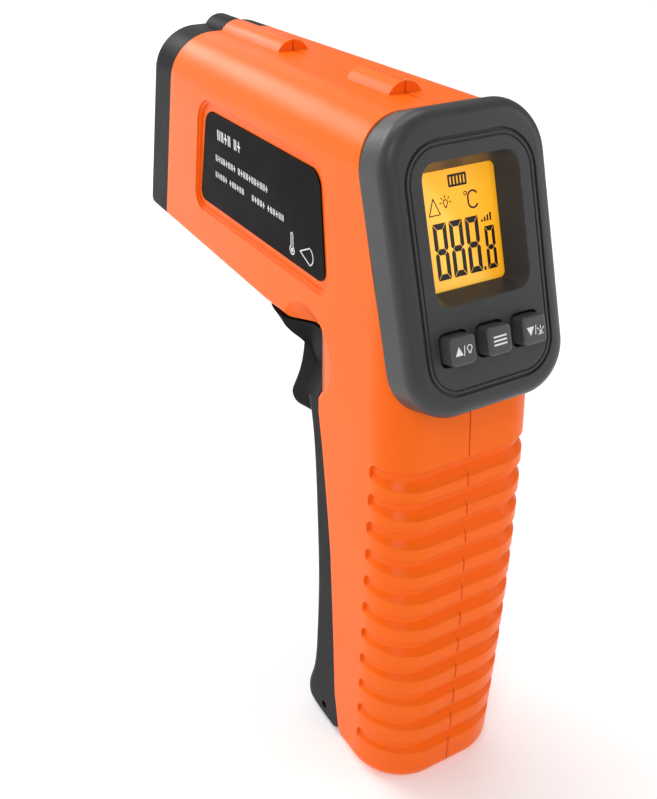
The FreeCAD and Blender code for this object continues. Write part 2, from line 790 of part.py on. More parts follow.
def nose_cap():
    """The grey front of the head: a hollow cap with the lens horn and the laser hole."""
    front = nose_side("nose_keep", SEAM_TOP, SEAM_LOW, 140)
    solid = common("nose_blank", head_form("nose_form", 0, cell("head_round")), front)
    top_front = cell("nose_top_y").value

    def round_front(edge):
        low, high = ends(edge)
        on_top = low.z > HEAD_TOP.value - 0.2 and low.y > top_front - 0.5
        middle = (low + high) * 0.5
        plane_y = slanted(cell("nose_top_y"), cell("nose_bottom_y"), middle.z).value
        return on_top or middle.y > plane_y - 0.8

    shaped = rounded("nose_rounded", solid, (cell("nose_round"), cell("nose_round"), round_front))
    sight = rounded("nose_ridge", ridge("nose_ridge_blank", 88.0, cell("front_ridge_to")),
                    (3.0, 3.0, lambda edge: ends(edge)[0].y > 99))
    sight_kept = common("nose_ridge_kept", sight, nose_side("ridge_keep", SEAM_TOP, SEAM_LOW, 140))
    whole = fuse("nose_whole", shaped, sight_kept)
    inset = nose_side("nose_back", SEAM_TOP - 1, SEAM_LOW - 1, 140)
    hollow = common("nose_hollow", inner, cut("nose_hollow_keep", inset,
                    nose_side("nose_front_wall", cell("nose_top_y") - 3.0,
                              cell("nose_bottom_y") - 3.0, 150)))
    horn = doc.addObject("Part::Cone", "nose_horn")
    bind(horn, Radius1=8.2, Radius2=12.6, Height=9)
    place(horn, 0, 105.2, OPTIC_Z, ALONG_Y)
    bore = rod("nose_bore", 8.2, 40, 0, 80, OPTIC_Z, ALONG_Y)
    laser_hole = rod("nose_laser_hole", 2.2, 40, 0, 80, LASER_Z, ALONG_Y)
    laser_dish = rod("nose_laser_dish", 3.4, 20, 0, 103.6, LASER_Z, ALONG_Y)
    return keep("nose_cap", cut("nose_cap", whole, hollow, horn, bore, laser_hole, laser_dish))


nose_cap()


def optics():
    """Lens, its ring, the barrel behind it, the thermopile and its board, from front to back."""
    keep("lens_tube", turned("lens_tube", [
        (11.8, 0), (11.8, 17.0), (9.4, 17.0), (9.4, 13.8), (6.6, 13.8), (5.2, 3.0), (9.8, 3.0), (9.8, 0),
    ], y=84.0, z=OPTIC_Z))
    keep("ir_lens", turned("ir_lens", [
        (0, 0), (9.3, 0), (9.3, 1.0), (7.6, 1.0), Via(4.2, 1.75), (0.5, 2.0), (0, 2.0),
    ], y=97.85, z=OPTIC_Z))
    keep("lens_retainer", turned("lens_retainer", [
        (7.7, 0), (9.3, 0), (9.3, 1.9), (8.7, 1.9),
    ], y=98.95, z=OPTIC_Z))
    keep("thermopile_sensor", turned("thermopile_sensor", [
        (0, 0), (4.6, 0), (4.6, 0.6), (4.1, 0.6), (4.1, 4.0), (2.4, 4.0), (2.4, 3.7), (0, 3.7),
    ], y=82.0, z=OPTIC_Z))
    keep("sensor_board", turned("sensor_board", [
        (0, 0), (9.6, 0), (9.6, 1.6), (0, 1.6),
    ], y=80.3, z=OPTIC_Z))


optics()


def laser():
    """The aiming laser: a brass tube with its lens and the clip that holds it."""
    tube = turned("laser_module", [
        (0, 0), (3.2, 0), (3.2, 12.0), (1.9, 12.0), (1.9, 10.6), (0, 10.6),
    ], y=80.0, z=LASER_Z)
    keep("laser_module", tube)
    keep("laser_lens", turned("laser_lens", [
        (0, 0), (1.8, 0), (1.8, 0.6), Via(1.0, 0.95), (0.2, 1.1), (0, 1.1),
    ], y=90.7, z=LASER_Z))
    block = box("laser_holder_block", (-5.6, 81.0, LASER_Z - 5.2), (5.6, 89.0, LASER_Z + 3.6))
    bore = rod("laser_holder_bore", 3.25, 20, 0, 75, LASER_Z, ALONG_Y)
    slit = box("laser_holder_slit", (-0.5, 79, LASER_Z), (0.5, 91, LASER_Z + 6))
    keep("laser_holder", cut("laser_holder", block, bore, slit))


laser()


# --- Labels ----------------------------------------------------------------------------------

for side_name, sign in (("left", -1), ("right", 1)):
    deep = cell("label_deep")
    keep("label_" + side_name,
         label_solid("label_" + side_name, sign, 0, 3.0, -deep + 0.02, -deep + cell("label_thick")))


# --- Display end: bezel, keys, glass, panel, board -------------------------------------------

KEY_X = {"up": -cell("key_pitch"), "mode": Size(0), "down": cell("key_pitch")}


def ring_corners(inset):
    """The outline of the ring grooves round the display and keys, drawn in by inset."""
    return frame_corners(14.75 - inset, -17.0 + inset, 30.0 - inset, 7.0 - inset, 8.0 - inset)


def rear_bezel():
    """The grey frame round the display, leaning back, with its recess, ring groove and key holes."""
    blank = face_prism("bezel_blank",
                       frame_corners(cell("bezel_half"), cell("bezel_bottom"), cell("bezel_top"),
                                     cell("bezel_round_low"), cell("bezel_round_top")),
                       -BEZEL_DEPTH, 0, -3.2)
    shaped = rounded("bezel_shaped", blank,
                     (cell("bezel_edge"), cell("bezel_edge"), lambda edge: ends(edge)[0].z > -0.01))
    glass_half, glass_high = cell("glass_half"), cell("glass_high")
    depth, inset = cell("glass_depth"), cell("glass_inset")
    slope = math.degrees(math.atan2(inset.value, depth.value))
    well = face_prism("bezel_well", frame_corners(glass_half, 0, glass_high, 3.2, 3.2), 0, depth, -slope)
    well_sunk = place(group("bezel_well_sunk", well), 0, glass_high, 0, Rotation(X_AXIS, 180))
    seat = box("bezel_glass_seat", (-10.6, 0.2, -20), (10.6, 25.7, -depth))
    cells = [well_sunk, seat]
    # The moulding is hollow behind, apart from the frames round the display and the keys.
    pocket = face_prism("bezel_pocket", frame_corners(15.6, -18.6, 32.8, 7.5, 8.5),
                        -BEZEL_DEPTH - 1, -2.2)
    frames = fuse("bezel_frames",
                  box("bezel_glass_frame", (-12.6, -1.6, -9), (12.6, 27.6, 0)),
                  *[box(f"bezel_boss_{i}", (x - BOSS_HALF, y - BOSS_HALF, -9),
                        (x + BOSS_HALF, y + BOSS_HALF, 0))
                    for i, (x, y) in enumerate(BOSSES)])
    cells.append(cut("bezel_hollow", pocket, frames))
    for key, x in KEY_X.items():
        hole = rounded(f"bezel_key_hole_{key}",
                       box(f"bezel_key_blank_{key}",
                           (x - cell("key_hole") / 2, cell("key_level") - cell("key_hole") / 2, -9),
                           (x + cell("key_hole") / 2, cell("key_level") + cell("key_hole") / 2, 2)),
                       (1.3, 1.3, runs_along(Z_AXIS)))
        cells.append(hole)
    # Two ring grooves just inside the rolled edge.
    for i, (inset, width, deep) in enumerate(((0, 0.6, 0.55), (1.05, 0.35, 0.3))):
        ring_out = face_prism(f"bezel_ring_out_{i}", ring_corners(inset), -deep, 1)
        ring_in = face_prism(f"bezel_ring_in_{i}", ring_corners(inset + width), -2, 2)
        cells.append(cut(f"bezel_ring_{i}", ring_out, ring_in))
    for i, (x, y) in enumerate(BOSSES):
        cells.append(rod(f"bezel_boss_bore_{i}", 0.8, 6.0, x, y, -9.0))
    return keep("rear_bezel", seated(cut("rear_bezel", shaped, *cells)))


rear_bezel()


def keycap(key):
    """One key: a square cap with a rolled face, a flange behind the bezel and a stem."""
    x = KEY_X[key]
    half = cell("key_size") / 2
    level = cell("key_level")
    cap = rounded(f"key_cap_{key}",
                  rounded(f"key_cap_upright_{key}",
                          box(f"key_cap_blank_{key}", (-half, -half, -3.0), (half, half, cell("key_proud"))),
                          (1.0, 1.0, runs_along(Z_AXIS))),
                  (0.45, 0.45, lambda edge: ends(edge)[0].z > cell("key_proud").value - 0.01))
    flange = box(f"key_flange_{key}", (-3.85, -3.85, -3.7), (3.85, 3.85, -2.6))
    stem = rod(f"key_stem_{key}", 1.5, 3.6, 0, 0, -7.1)
    name = "button_" + key
    return keep(name, seated(fuse(name, cap, flange, stem), x, level, 0))


for key in KEY_X:
    keycap(key)

BOARD_FRONT = -11.4


def key_switches():
    """The three snap switches on the board, and the plunger that each key pushes."""
    bodies = []
    for key, x in KEY_X.items():
        can = box(f"switch_can_{key}", (x - 3.0, cell("key_level") - 3.0, BOARD_FRONT),
                  (x + 3.0, cell("key_level") + 3.0, -8.0))
        well = rod(f"switch_well_{key}", 1.75, 2.6, x, cell("key_level"), -10.4)
        bodies.append(cut(f"switch_{key}", can, well))
        plunger = rod(f"switch_plunger_{key}", 1.65, 2.4, 0, 0, -9.5)
        keep(f"key_plunger_{key}",
             seated(group(f"key_plunger_{key}", plunger), x, cell("key_level"), 0))
    keep("key_switches", seated(group("key_switches", *bodies)))


key_switches()


def display_stack():
    """Clear window, liquid crystal panel, backlight, contact strips, board, chip, screws."""
    window = box("window_plate", (-10.4, 0.4, -6.1), (10.4, 25.5, -5.05))
    keep("display_window", seated(group("display_window", window)))
    panel = box("lcd_plate", (-10.4, 0.4, -8.2), (10.4, 25.5, -6.2))
    keep("lcd_panel", seated(group("lcd_panel", panel)))
    light = box("backlight_plate", (-9.4, 4.0, -11.2), (9.4, 22.0, -8.3))
    keep("backlight", seated(group("backlight", light)))
    strips = [box(f"strip_{i}", (-9.4, low, -11.35), (9.4, low + 2.0, -8.25))
              for i, low in enumerate((1.2, 22.8))]
    keep("contact_strips", seated(group("contact_strips", *strips)))
    plate = face_prism("board_plate", frame_corners(14.2, -15.4, 30.4, 2, 4.5),
                       BOARD_FRONT - 1.6, BOARD_FRONT)
    holes = [rod(f"board_hole_{i}", 1.1, 6, x, y, BOARD_FRONT - 3) for i, (x, y) in enumerate(BOSSES)]
    keep("display_board", seated(cut("display_board", plate, *holes)))
    chips = [
        box("controller", (-6, 6, BOARD_FRONT - 3.2), (6, 18, BOARD_FRONT - 1.62)),
        box("memory", (-5, -4, BOARD_FRONT - 3.0), (0, 0, BOARD_FRONT - 1.62)),
        box("regulator", (4, -5, BOARD_FRONT - 3.2), (8, 0, BOARD_FRONT - 1.62)),
        rod("capacitor", 2.0, 4.0, 8.5, 24, BOARD_FRONT - 5.62),
    ]
    keep("board_chips", seated(group("board_chips", *chips)))
    screws = []
    for i, (x, y) in enumerate(BOSSES):
        shank = rod(f"board_shank_{i}", 0.75, 8.0, x, y, BOARD_FRONT - 1.65)
        head = rod(f"board_head_{i}", 1.7, 1.1, x, y, BOARD_FRONT - 2.72)
        spacer = rod(f"board_spacer_{i}", 1.6, 2.8, x, y, BOARD_FRONT + 0.05)
        screws.append(fuse(f"board_screw_{i}", shank, head, spacer))
    keep("board_screws", seated(group("board_screws", *screws)))


display_stack()


# --- Trigger group ----------------------------------------------------------------------------

TRIGGER_Y = cell("trigger_pin_y")
TRIGGER_Z = cell("trigger_pin_z")


def trigger():
    """The finger lever: a curved front that ends in a forward lip, hung from its pivot."""
    half = cell("trigger_half")
    top = (TRIGGER_Y, TRIGGER_Z + 3.0)
    front = [
        (45.5, 108.0), (44.5, 101.0), (44.8, 94.0), (46.8, 87.0), (50.0, 80.8), (50.9, 78.0), (49.4, 76.2),
        (45.6, 76.2), (38.0, 77.6), (30.5, 79.0),
    ]
    lever = smooth_prism("trigger_lever", [
        [(30.5, 112.0), (TRIGGER_Y - 2.6, TRIGGER_Z + 1.5)],
        [(TRIGGER_Y - 2.6, TRIGGER_Z + 1.5), top, (TRIGGER_Y + 2.8, TRIGGER_Z + 1.2)],
        [(TRIGGER_Y + 2.8, TRIGGER_Z + 1.2), front[0]], front,
        [front[-1], (28.0, 81.5)], [(28.0, 81.5), (28.0, 104.0)], [(28.0, 104.0), (30.5, 112.0)],
    ], half)
    shaped = rounded("trigger_shaped", lever, (1.3, 1.3, front_of_trigger))
    hollow = prism("trigger_hollow", SIDE_VIEW, [
        (24, 79), (32.5, 81.5), (43.0, 79.8), Via(40.0, 93.0), (41.5, 105.0), (32.0, 107.0), (24, 107),
    ], -half + 2.0, half - 2.0)
    rib = box("trigger_rib", (-1.2, 28.2, 92.0), (1.2, 42.5, 98.0))
    bore = rod("trigger_bore", PIN + RUNNING, 40, -20, TRIGGER_Y, TRIGGER_Z, ALONG_X)
    return keep("trigger", cut("trigger", fuse("trigger_whole", cut("trigger_cup", shaped, hollow), rib),
                               bore))


def front_of_trigger(edge):
    """The two long side edges of the trigger's front face and lip."""
    low, high = ends(edge)
    return high.x - low.x < 0.01 and high.y > 50 and high.z - low.z > 20


trigger()
keep("trigger_pin", rod("trigger_pin", PIN, 24.0, -12.0, TRIGGER_Y, TRIGGER_Z, ALONG_X))


def trigger_switch():
    """The snap switch behind the trigger, with the plunger that the trigger's rib pushes."""
    can = box("trigger_switch_can", (-3.2, 17.0, 91.6), (3.2, 24.6, 98.4))
    well = rod("trigger_switch_well", 1.3, 4.2, 0, 21.4, 95.0, ALONG_Y)
    lugs = [box(f"trigger_switch_lug_{i}", (x - 0.4, 14.2, 94.0), (x + 0.4, 17.0, 96.0))
            for i, x in enumerate((-2.0, 2.0))]
    body = fuse("trigger_switch_solid", cut("trigger_switch_bored", can, well), *lugs)
    keep("trigger_switch", body)
    keep("switch_plunger", rod("switch_plunger", 1.2, 4.15, 0, 23.8, 95.0, ALONG_Y))
    plate = box("trigger_board_plate", (-14.0, 12.4, 88.0), (14.0, 14.0, 103.0))
    keep("trigger_board", plate)


trigger_switch()


def trigger_spring():
    """A small coil spring between the trigger's back edge and the switch board."""
    coil = doc.addObject("Part::Helix", "trigger_spring_line")
    bind(coil, Pitch=1.625, Height=13.0, Radius=1.7)
    ring = doc.addObject("Part::Circle", "trigger_spring_wire")
    bind(ring, Radius=0.25)
    ring.Placement = Placement(Vector(1.7, 0, 0), Rotation(X_AXIS, 90))
    sweep = doc.addObject("Part::Sweep", "trigger_spring")
    sweep.Sections = [ring]
    sweep.Spine = (coil, ["Edge1"])
    sweep.Solid = True
    sweep.Frenet = True
    place(sweep, 5.0, 14.45, 100.0, ALONG_Y)
    keep("trigger_spring", sweep)


trigger_spring()


# --- Battery compartment ----------------------------------------------------------------------

def battery_parts():
    """Tray, two AAA cells side by side, contact plates at the top and springs at the foot."""
    gap = CELL_R + 0.35
    low_z = cell("cell_low_z")
    high_z = low_z + cell("cell_long")
    cell_y = Size(4.6)
    tray = box("tray_block", (-12.6, -3.0, low_z - 4.6), (12.6, 10.4, high_z + 4.4))
    tools = [box("tray_bay", (-11.4, cell_y, low_z - 3.4), (11.4, 12, high_z + 3.2))]
    for i, sign in enumerate((-1, 1)):
        tools.append(rod(f"tray_bay_round_{i}", CELL_R + 0.3, high_z - low_z + 6.6,
                         gap * sign, cell_y, low_z - 3.4))
    keep("battery_tray", cut("battery_tray", tray, *tools))
    cells = []
    for i, sign in enumerate((-1, 1)):
        can = rod(f"cell_can_{i}", CELL_R, cell("cell_long"), gap * sign, cell_y, low_z)
        cap_z = high_z if sign > 0 else low_z - 1.0
        cap = rod(f"cell_cap_{i}", 1.9, 1.0, gap * sign, cell_y, cap_z)
        cells.append(fuse(f"cell_{i}", can, cap))
    keep("battery_cells", group("battery_cells", *cells))
    contacts = [
        box("contact_top_left", (-9.4, 0.8, high_z + 2.5), (-1.6, 8.8, high_z + 3.0)),
        box("contact_top_right", (1.6, 0.8, high_z + 1.1), (9.4, 8.8, high_z + 3.0)),
        box("contact_foot", (-9.4, 4.7, low_z - 3.2), (9.4, 8.8, low_z - 2.8)),
    ]
    keep("battery_contacts", group("battery_contacts", *contacts))
    springs = []
    for i, (sign, base, high) in enumerate(((1, low_z - 2.75, 2.7), (-1, high_z + 0.05, 2.4))):
        cone = doc.addObject("Part::Cone", f"battery_spring_cone_{i}")
        bind(cone, Radius1=2.9 if sign > 0 else 2.1, Radius2=2.1 if sign > 0 else 2.9, Height=high)
        place(cone, gap * sign, cell_y, base)
        core = doc.addObject("Part::Cone", f"battery_spring_core_{i}")
        bind(core, Radius1=2.2 if sign > 0 else 1.4, Radius2=1.4 if sign > 0 else 2.2, Height=high)
        place(core, gap * sign, cell_y, base)
        springs.append(cut(f"battery_spring_{i}", cone, core))
    springs.append(rod("battery_pip", 2.0, 1.7, -gap, cell_y, low_z - 2.75))
    return springs


battery_springs = battery_parts()
keep("battery_springs", group("battery_springs", *battery_springs))


def door_runs():
    """Side view of the battery door: a concave top, a long front, a flared toe."""
    front = [
        (44.6, 106.6), (38.6, 104.9), (33.6, 102.4), (30.0, 99.0), (27.4, 94.6), (25.4, 88.5), (24.1, 80.0),
        (23.0, 62.0), (22.5, 44.0), (23.3, 26.0), (25.6, 11.5), (27.3, 5.8), (26.4, 2.2), (23.2, 0.7),
        (19.6, 0.3),
    ]
    back = [
        (13.1, 14.5), (14.0, 32.0), (15.4, 56.0), (17.5, 71.5), (20.7, 91.0), (21.4, 98.5), (23.2, 105.9),
    ]
    return [front, [front[-1], (16.0, 0.05)], [(16.0, 0.05), (11.75, 3.1)], [(11.75, 3.1), (11.3, 4.5)],
            [(11.3, 4.5), back[0]], back, [back[-1], (24.6, 106.6)], [(24.6, 106.6), front[0]]]


def battery_door():
    """The dark front of the grip: hinged at the toe, forked round the trigger at the top."""
    solid = smooth_prism("door_solid", door_runs(), DOOR_HALF)

    def front_sides(edge):
        low, high = ends(edge)
        return high.x - low.x < 0.01 and high.z - low.z > 90 and high.y > 40

    shaped = rounded("door_shaped", solid, (2.2, 2.2, front_sides))
    wall = cell("door_wall")
    hollow = prism("door_hollow", SIDE_VIEW, [
        (8, 2.5), (16.2, 2.1), (25.4, 3.2), Via(20.7, 44.0), (23.2, 84.0), (23.2, 90.0), (8, 90.0),
    ], -DOOR_HALF + wall, DOOR_HALF - wall)
    fork = box("door_fork", (-SLOT, 5, 74.0), (SLOT, 60, 120))
    upper = prism("door_upper_hollow", SIDE_VIEW, [
        (8, 89.5), (23.2, 89.5), Via(27.2, 99.4), (34.5, 105.4), (34.5, 108), (8, 108),
    ], -DOOR_HALF + wall, DOOR_HALF - wall)
    pin_y, pin_z = cell("door_pin_y"), cell("door_pin_z")
    lugs = []
    for i, low in enumerate((-10.0, -14.6, 8.0, 12.6)):
        lug = prism(f"door_lug_{i}", SIDE_VIEW, [
            (14.4, 3.2), (25.0, 2.2), (24.0, 12.0), (pin_y, pin_z + 2.6), (pin_y - 2.9, pin_z + 1.6),
        ], low, low + 2.0)
        lugs.append(lug)
    fork_block = box("door_fork_block", (-SLOT - 2.0, 0, 72.0), (SLOT + 2.0, 60, 120))
    # The finger hollows run on into the door's sides, with a wall behind them.
    dips = [scallop(f"door_dip_{i}", sign) for i, sign in enumerate((-1, 1))]
    dip_walls = [scallop(f"door_dip_wall_{i}", sign, 1.6) for i, sign in enumerate((-1, 1))]
    room = cut("door_room", fuse("door_hollows", hollow, upper), fork_block, *lugs, *dip_walls)
    # Slots in the heel, so that the door can swing down past the housing's hinge ears.
    slots = [box(f"door_ear_slot_{i}", (low, 0, -1), (low + EAR_WIDE + 0.3, pin_y + 3.3, pin_z + 4.4))
             for i, low in enumerate((-EAR_OUT - 0.15, EAR_IN - 0.15))]
    bore = rod("door_bore", PIN + RUNNING, 60, -30, pin_y, pin_z, ALONG_X)
    return keep("battery_door", cut("battery_door", shaped, room, fork, bore, *slots, *dips))


battery_door()
keep("door_hinge_pin", rod("door_hinge_pin", PIN, 28.4, -14.2, cell("door_pin_y"),
                           cell("door_pin_z"), ALONG_X))


# --- Checks and files -------------------------------------------------------------------------

def check_and_write():
    doc.recompute()
    failed = [obj.Name for obj in doc.Objects if {"Invalid", "Error"} & set(obj.State)]
    if failed:
        raise RuntimeError("these features failed: " + ", ".join(failed))
    for node, obj in nodes.items():
        if obj.Shape.isNull() or not obj.Shape.isValid():
            raise RuntimeError("not a valid shape: " + node)
    os.makedirs("parts", exist_ok=True)
    for node, obj in nodes.items():
        obj.Shape.exportStep(f"parts/{node}.step")
        print(f"{node}: {len(obj.Shape.Solids)} solid(s), {obj.Shape.Volume:.1f} mm3")


check_and_write()
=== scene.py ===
"""Looks of a hand-held infrared thermometer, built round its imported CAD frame."""

import math

import bmesh
import bpy
from mathutils import Euler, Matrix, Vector


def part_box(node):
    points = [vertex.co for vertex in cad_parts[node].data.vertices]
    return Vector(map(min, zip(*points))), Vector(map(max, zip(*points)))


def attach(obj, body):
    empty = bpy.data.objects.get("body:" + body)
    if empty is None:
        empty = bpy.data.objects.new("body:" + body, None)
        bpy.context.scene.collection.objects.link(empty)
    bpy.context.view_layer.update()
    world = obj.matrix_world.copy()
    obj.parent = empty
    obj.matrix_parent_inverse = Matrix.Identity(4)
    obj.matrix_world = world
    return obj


MM = 0.001

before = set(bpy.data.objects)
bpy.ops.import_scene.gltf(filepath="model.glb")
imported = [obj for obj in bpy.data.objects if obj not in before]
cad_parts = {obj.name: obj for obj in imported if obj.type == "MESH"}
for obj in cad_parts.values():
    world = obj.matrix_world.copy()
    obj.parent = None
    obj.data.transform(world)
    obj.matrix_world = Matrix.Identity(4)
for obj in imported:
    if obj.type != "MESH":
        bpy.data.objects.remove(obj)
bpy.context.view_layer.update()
scene = bpy.context.scene

# --- Places -----------------------------------------------------------------------------------

X_DIRECTION = Vector((1, 0, 0))
Z_DIRECTION = Vector((0, 0, 1))
FACE_LEAN = math.radians(16.94)
FACE_UP = Vector((0, math.sin(FACE_LEAN), math.cos(FACE_LEAN)))
FACE_OUT = Vector((0, -math.cos(FACE_LEAN), math.sin(FACE_LEAN)))
# A polygon belongs to a face when its normal is this close to the face's and it lies in its layer.
SAME_WAY = 0.99
FACE_LAYER = 1.5 * MM


class Face:
    """A flat face of a CAD node: its middle and the directions right, up and out."""

    def __init__(self, node, out, up):
        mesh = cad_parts[node].data
        flat = [p for p in mesh.polygons if p.normal.dot(out) > SAME_WAY]
        reach = max(p.center.dot(out) for p in flat)
        flat = [p for p in flat if p.center.dot(out) > reach - FACE_LAYER]
        self.out = sum((p.normal * p.area for p in flat), Vector()).normalized()
        self.up = (up - self.out * up.dot(self.out)).normalized()
        self.right = self.up.cross(self.out)
        spots = [mesh.vertices[i].co for p in flat for i in p.vertices]
        rights = [s.dot(self.right) for s in spots]
        ups = [s.dot(self.up) for s in spots]
        outs = sorted(s.dot(self.out) for s in spots)
        low = Vector((min(rights), min(ups)))
        high = Vector((max(rights), max(ups)))
        centre = (low + high) / 2
        self.middle = self.right * centre.x + self.up * centre.y + self.out * outs[len(outs) // 2]

    def at(self, u, v, height=0.0):
        """The point u mm right, v mm up and height mm out from the face's middle."""
        return self.middle + (self.right * u + self.up * v + self.out * height) * MM


# --- Materials --------------------------------------------------------------------------------

# The range that most values of a noise texture fall in.
NOISE_LOW, NOISE_HIGH = 0.3, 0.7
# Sockets of the colour mix node: first colour, second colour, result.
MIX_FIRST, MIX_SECOND, MIX_RESULT = 6, 7, 2


class Look:
    """A node-based material under construction."""

    def __init__(self, name, **sockets):
        self.material = bpy.data.materials.new(name)
        self.material.use_nodes = True
        self.nodes = self.material.node_tree.nodes
        self.links = self.material.node_tree.links
        self.nodes.clear()
        self.shader = self.add("ShaderNodeBsdfPrincipled", **sockets)
        self.output = self.add("ShaderNodeOutputMaterial")
        self.link(self.shader, "BSDF", self.output, "Surface")
        self.place = self.add("ShaderNodeTexCoord")

    def add(self, kind, **sockets):
        node = self.nodes.new(kind)
        for name, value in sockets.items():
            node.inputs[name.replace("_", " ")].default_value = value
        return node

    def link(self, source, output, target, socket):
        self.links.new(source.outputs[output], target.inputs[socket])

    def noise(self, scale, detail=3.0, roughness=0.55, stretch=(1, 1, 1)):
        mapping = self.add("ShaderNodeMapping", Scale=stretch)
        self.link(self.place, "Object", mapping, "Vector")
        noise = self.add("ShaderNodeTexNoise", Scale=scale, Detail=detail, Roughness=roughness)
        self.link(mapping, "Vector", noise, "Vector")
        return noise

    def ramp(self, source, output, *stops):
        ramp = self.add("ShaderNodeValToRGB")
        elements = ramp.color_ramp.elements
        while len(elements) < len(stops):
            elements.new(0.5)
        for element, (position, colour) in zip(elements, stops):
            element.position = position
            element.color = (*colour, 1.0)
        self.link(source, output, ramp, "Fac")
        return ramp

    def remap(self, source, output, start, end, low=0.0, high=1.0):
        """Turns the values from start to end into low to high."""
        node = self.add("ShaderNodeMapRange", From_Min=start, From_Max=end, To_Min=low, To_Max=high)
        self.link(source, output, node, "Value")
        return node

    def spread(self, noise, low, high):
        """Turns a noise into values from low to high."""
        return self.remap(noise, "Fac", NOISE_LOW, NOISE_HIGH, low, high)

    def speckled(self, ramp, noise, amount):
        """A ramp's colour with a little of a noise multiplied into it."""
        mix = self.add("ShaderNodeMix")
        mix.data_type = "RGBA"
        mix.blend_type = "MULTIPLY"
        mix.inputs["Factor"].default_value = amount
        self.link(ramp, "Color", mix, MIX_FIRST)
        self.link(noise, "Color", mix, MIX_SECOND)
        return mix

    def mottle(self, colour, change, scale=35.0):
        """A colour that drifts a little, darker and lighter, over the piece."""
        noise = self.noise(scale, 4.0)
        dark = tuple(c * (1 - change) for c in colour)
        light = tuple(min(1.0, c * (1 + change)) for c in colour)
        ramp = self.ramp(noise, "Fac", (NOISE_LOW, dark), (NOISE_HIGH, light))
        self.link(ramp, "Color", self.shader, "Base Color")

    def grain(self, scale, depth, roll=0.0):
        """Fine moulded grain; depth and the radius that rolls the edges are in mm."""
        fine = self.noise(scale, 2.0, 0.6)
        bump = self.add("ShaderNodeBump", Strength=1.0, Distance=depth * MM)
        self.link(fine, "Fac", bump, "Height")
        if roll:
            bevel = self.add("ShaderNodeBevel", Radius=roll * MM)
            bevel.samples = 6
            self.link(bevel, "Normal", bump, "Normal")
        self.link(bump, "Normal", self.shader, "Normal")

    def sheen(self, rough, scale=60.0, vary=0.05):
        """A roughness that varies a little either way."""
        noise = self.noise(scale, 5.0, 0.6)
        spread = self.spread(noise, rough - vary, rough + vary)
        self.link(spread, "Result", self.shader, "Roughness")


def plastic(name, colour, rough, grain, depth, roll=0.25, change=0.06, **sockets):
    """Moulded plastic: grain is the scale of its texture, depth and roll are in mm."""
    look = Look(name, **sockets)
    look.mottle(colour, change)
    look.sheen(rough)
    look.grain(grain, depth, roll)
    return look.material


def metal(name, colour, rough, stretch=(1, 1, 1), change=0.1):
    """Metal with fine brush marks, drawn out along an axis by stretch."""
    look = Look(name, Metallic=1.0)
    look.mottle(colour, change, 120.0)
    brushed = look.noise(900.0, 3.0, 0.6, stretch)
    spread = look.spread(brushed, rough - 0.08, rough + 0.1)
    look.link(spread, "Result", look.shader, "Roughness")
    bump = look.add("ShaderNodeBump", Strength=0.5, Distance=0.02 * MM)
    look.link(brushed, "Fac", bump, "Height")
    look.link(bump, "Normal", look.shader, "Normal")
    return look.material


def banded(name, axis, stops, rough, metallic=0.0):
    """A colour that changes in steps along one axis; each stop is its place in metres and a colour."""
    look = Look(name, Metallic=metallic)
    split = look.add("ShaderNodeSeparateXYZ")
    look.link(look.place, "Object", split, "Vector")
    low, high = stops[0][0], stops[-1][0]
    span = look.remap(split, axis, low, high)
    ramp = look.ramp(span, "Result", *[((at - low) / (high - low), c) for at, c in stops])
    ramp.color_ramp.interpolation = "CONSTANT"
    mix = look.speckled(ramp, look.noise(300.0), 0.15)
    look.link(mix, MIX_RESULT, look.shader, "Base Color")
    look.sheen(rough, 200.0)
    look.grain(1500.0, 0.01)
    return look.material


def clear(name, tint, haze):
    """A thin clear plate: mostly see-through with a faint uneven shine."""
    look = Look(name)
    through = look.add("ShaderNodeBsdfTransparent")
    through.inputs["Color"].default_value = (*tint, 1.0)
    shine = look.add("ShaderNodeBsdfGlossy")
    shine.inputs["Color"].default_value = (1, 1, 1, 1)
    noise = look.noise(60.0)
    rough = look.spread(noise, 0.04, 0.12)
    look.link(rough, "Result", shine, "Roughness")
    amount = look.spread(noise, haze * 0.7, haze * 1.3)
    mix = look.add("ShaderNodeMixShader")
    look.link(amount, "Result", mix, "Fac")
    look.links.new(through.outputs["BSDF"], mix.inputs[1])
    look.links.new(shine.outputs["BSDF"], mix.inputs[2])
    look.link(mix, "Shader", look.output, "Surface")
    look.nodes.remove(look.shader)
    return look.material


def lit_panel(name, face):
    """The lit amber panel: even glowing amber, with a paler wedge of painted light in its lower left
    corner.
    """
    look = Look(name, Roughness=0.35, Emission_Strength=0.62)
    # The paler colour is painted light on the panel. It gives way to the even amber at a soft straight
    # edge.
    amber, pale = (1.0, 0.46, 0.018), (1.0, 0.56, 0.075)
    light_edge_slant = (face.right * 0.86 + face.up * 0.51).normalized()
    edge = face.at(-0.25, 0.25).dot(light_edge_slant)
    light_edge_softness = 1.2 * MM
    dot = look.add("ShaderNodeVectorMath")
    dot.operation = "DOT_PRODUCT"
    dot.inputs[1].default_value = light_edge_slant
    look.link(look.place, "Object", dot, 0)
    span = look.remap(dot, "Value", edge - light_edge_softness, edge + light_edge_softness)
    ramp = look.ramp(span, "Result", (0.0, pale), (1.0, amber))
    mix = look.speckled(ramp, look.noise(220.0), 0.06)
    look.link(mix, MIX_RESULT, look.shader, "Base Color")
    look.link(mix, MIX_RESULT, look.shader, "Emission Color")
    look.grain(2500.0, 0.004)
    return look.material


